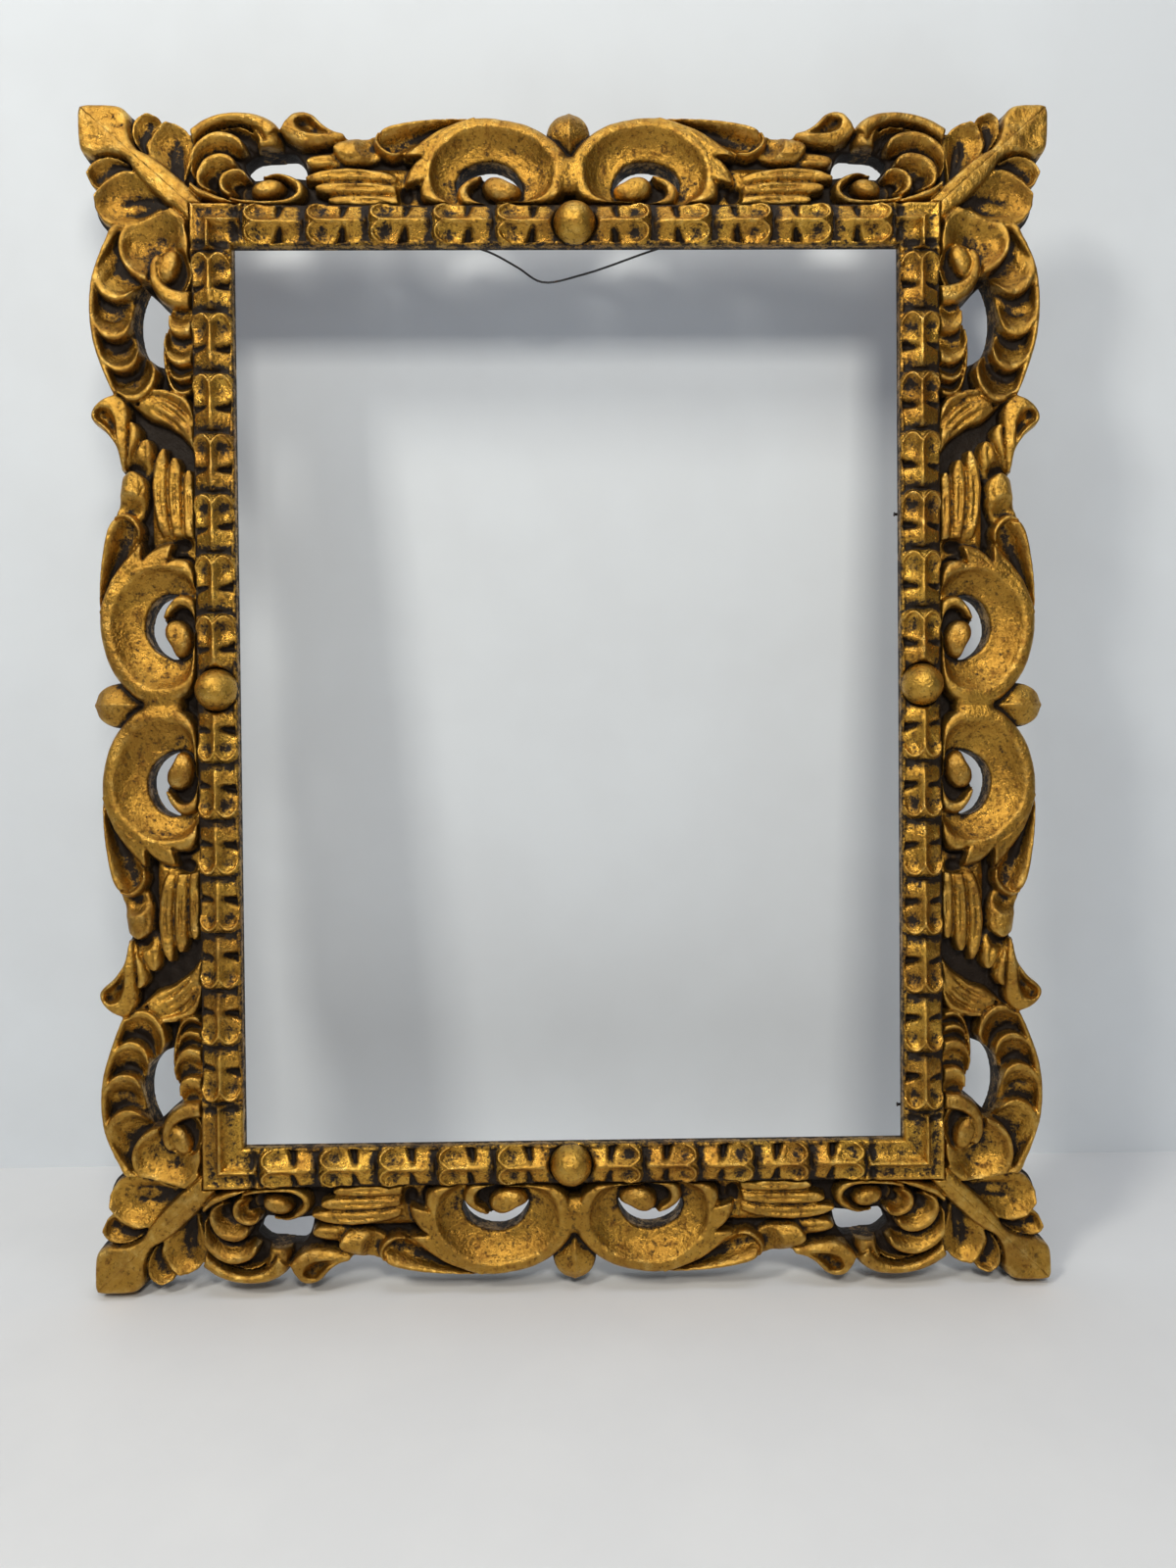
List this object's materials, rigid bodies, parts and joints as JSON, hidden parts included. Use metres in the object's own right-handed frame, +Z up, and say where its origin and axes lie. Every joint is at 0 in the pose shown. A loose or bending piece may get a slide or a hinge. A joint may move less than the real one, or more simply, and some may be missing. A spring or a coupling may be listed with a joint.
{
  "type": "carved picture frame",
  "caption": "Rectangular carved and gilded picture frame with pierced scrollwork borders, husk sight mouldings, middle beads, and a slack hanging wire that swings in screw eyes on the back.",
  "frame": {"origin": "in the plane of the back faces, on the centre line, at the height of the two screw eyes", "axes": "+Z up, +X to the right seen from the front, +Y out of the back towards the wall; the carved front faces -Y"},
  "size_m": [0.4254, 0.0396, 0.521],
  "materials": {
    "gilded_wood": "carved wood, gilded, rubbed on the high parts, dark patina in the hollows",
    "burnished_bead": "turned wood, burnished gilding",
    "dark_steel": "darkened steel wire"
  },
  "bodies": {
    "frame": {"top_moulding": "gilded_wood", "bottom_moulding": "gilded_wood", "left_moulding": "gilded_wood", "right_moulding": "gilded_wood", "top_border": "gilded_wood", "bottom_border": "gilded_wood", "left_border": "gilded_wood", "right_border": "gilded_wood", "top_boss": "burnished_bead", "bottom_boss": "burnished_bead", "left_boss": "burnished_bead", "right_boss": "burnished_bead", "screw_eye_left": "dark_steel", "screw_eye_right": "dark_steel", "brad_right_upper": "dark_steel", "brad_right_lower": "dark_steel"},
    "wire": {"hanging_wire": "dark_steel", "wire_loop_left": "dark_steel", "wire_loop_right": "dark_steel"}
  },
  "joints": [
    {"name": "wire_swing", "type": "hinge", "parent": "frame", "child": "wire", "pos_m": [0, 0.0072, 0], "axis": [1, 0, 0], "range_deg": [0, 180]}
  ]
}
